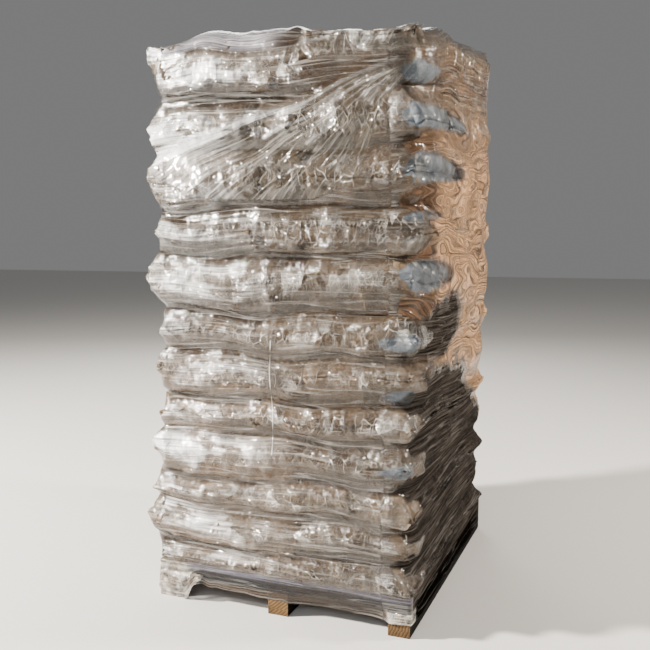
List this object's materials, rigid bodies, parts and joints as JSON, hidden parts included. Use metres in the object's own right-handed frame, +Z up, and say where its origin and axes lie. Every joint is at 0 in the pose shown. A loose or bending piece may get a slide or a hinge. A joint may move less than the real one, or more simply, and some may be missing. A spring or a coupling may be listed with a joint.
{
  "type": "pallet load of sacks",
  "caption": "Tall stack of filled paper sacks in interlocking layers, stretch-wrapped in clear film to a wooden block pallet.",
  "frame": {"origin": "middle of the pallet's underside, at floor level, on the underside of the middle bottom board", "axes": "+Z up; the pallet's 1000 mm side lies along X and its 1200 mm side along Y; the wide face of the picture, with the three block ends, faces -Y"},
  "size_m": [1.1207, 1.3225, 2.2114],
  "materials": {
    "pallet_wood": "rough-sawn softwood, weathered brown",
    "kraft_paper": "matt brown sack paper, creased",
    "stretch_wrap": "clear glossy stretch film, wrinkled"
  },
  "bodies": {
    "root": {"bottom_board_left": "pallet_wood", "bottom_board_middle": "pallet_wood", "bottom_board_right": "pallet_wood", "block_front_left": "pallet_wood", "block_front_middle": "pallet_wood", "block_front_right": "pallet_wood", "block_centre_left": "pallet_wood", "block_centre_middle": "pallet_wood", "block_centre_right": "pallet_wood", "block_rear_left": "pallet_wood", "block_rear_middle": "pallet_wood", "block_rear_right": "pallet_wood", "cross_board_front": "pallet_wood", "cross_board_centre": "pallet_wood", "cross_board_rear": "pallet_wood", "deck_board_1": "pallet_wood", "deck_board_2": "pallet_wood", "deck_board_3": "pallet_wood", "deck_board_4": "pallet_wood", "deck_board_5": "pallet_wood", "deck_board_6": "pallet_wood", "deck_board_7": "pallet_wood", "sack_layer_01": "kraft_paper", "sack_layer_02": "kraft_paper", "sack_layer_03": "kraft_paper", "sack_layer_04": "kraft_paper", "sack_layer_05": "kraft_paper", "sack_layer_06": "kraft_paper", "sack_layer_07": "kraft_paper", "sack_layer_08": "kraft_paper", "sack_layer_09": "kraft_paper", "sack_layer_10": "kraft_paper", "sack_layer_11": "kraft_paper", "sack_layer_12": "kraft_paper", "stretch_film": "stretch_wrap"}
  },
  "joints": []
}
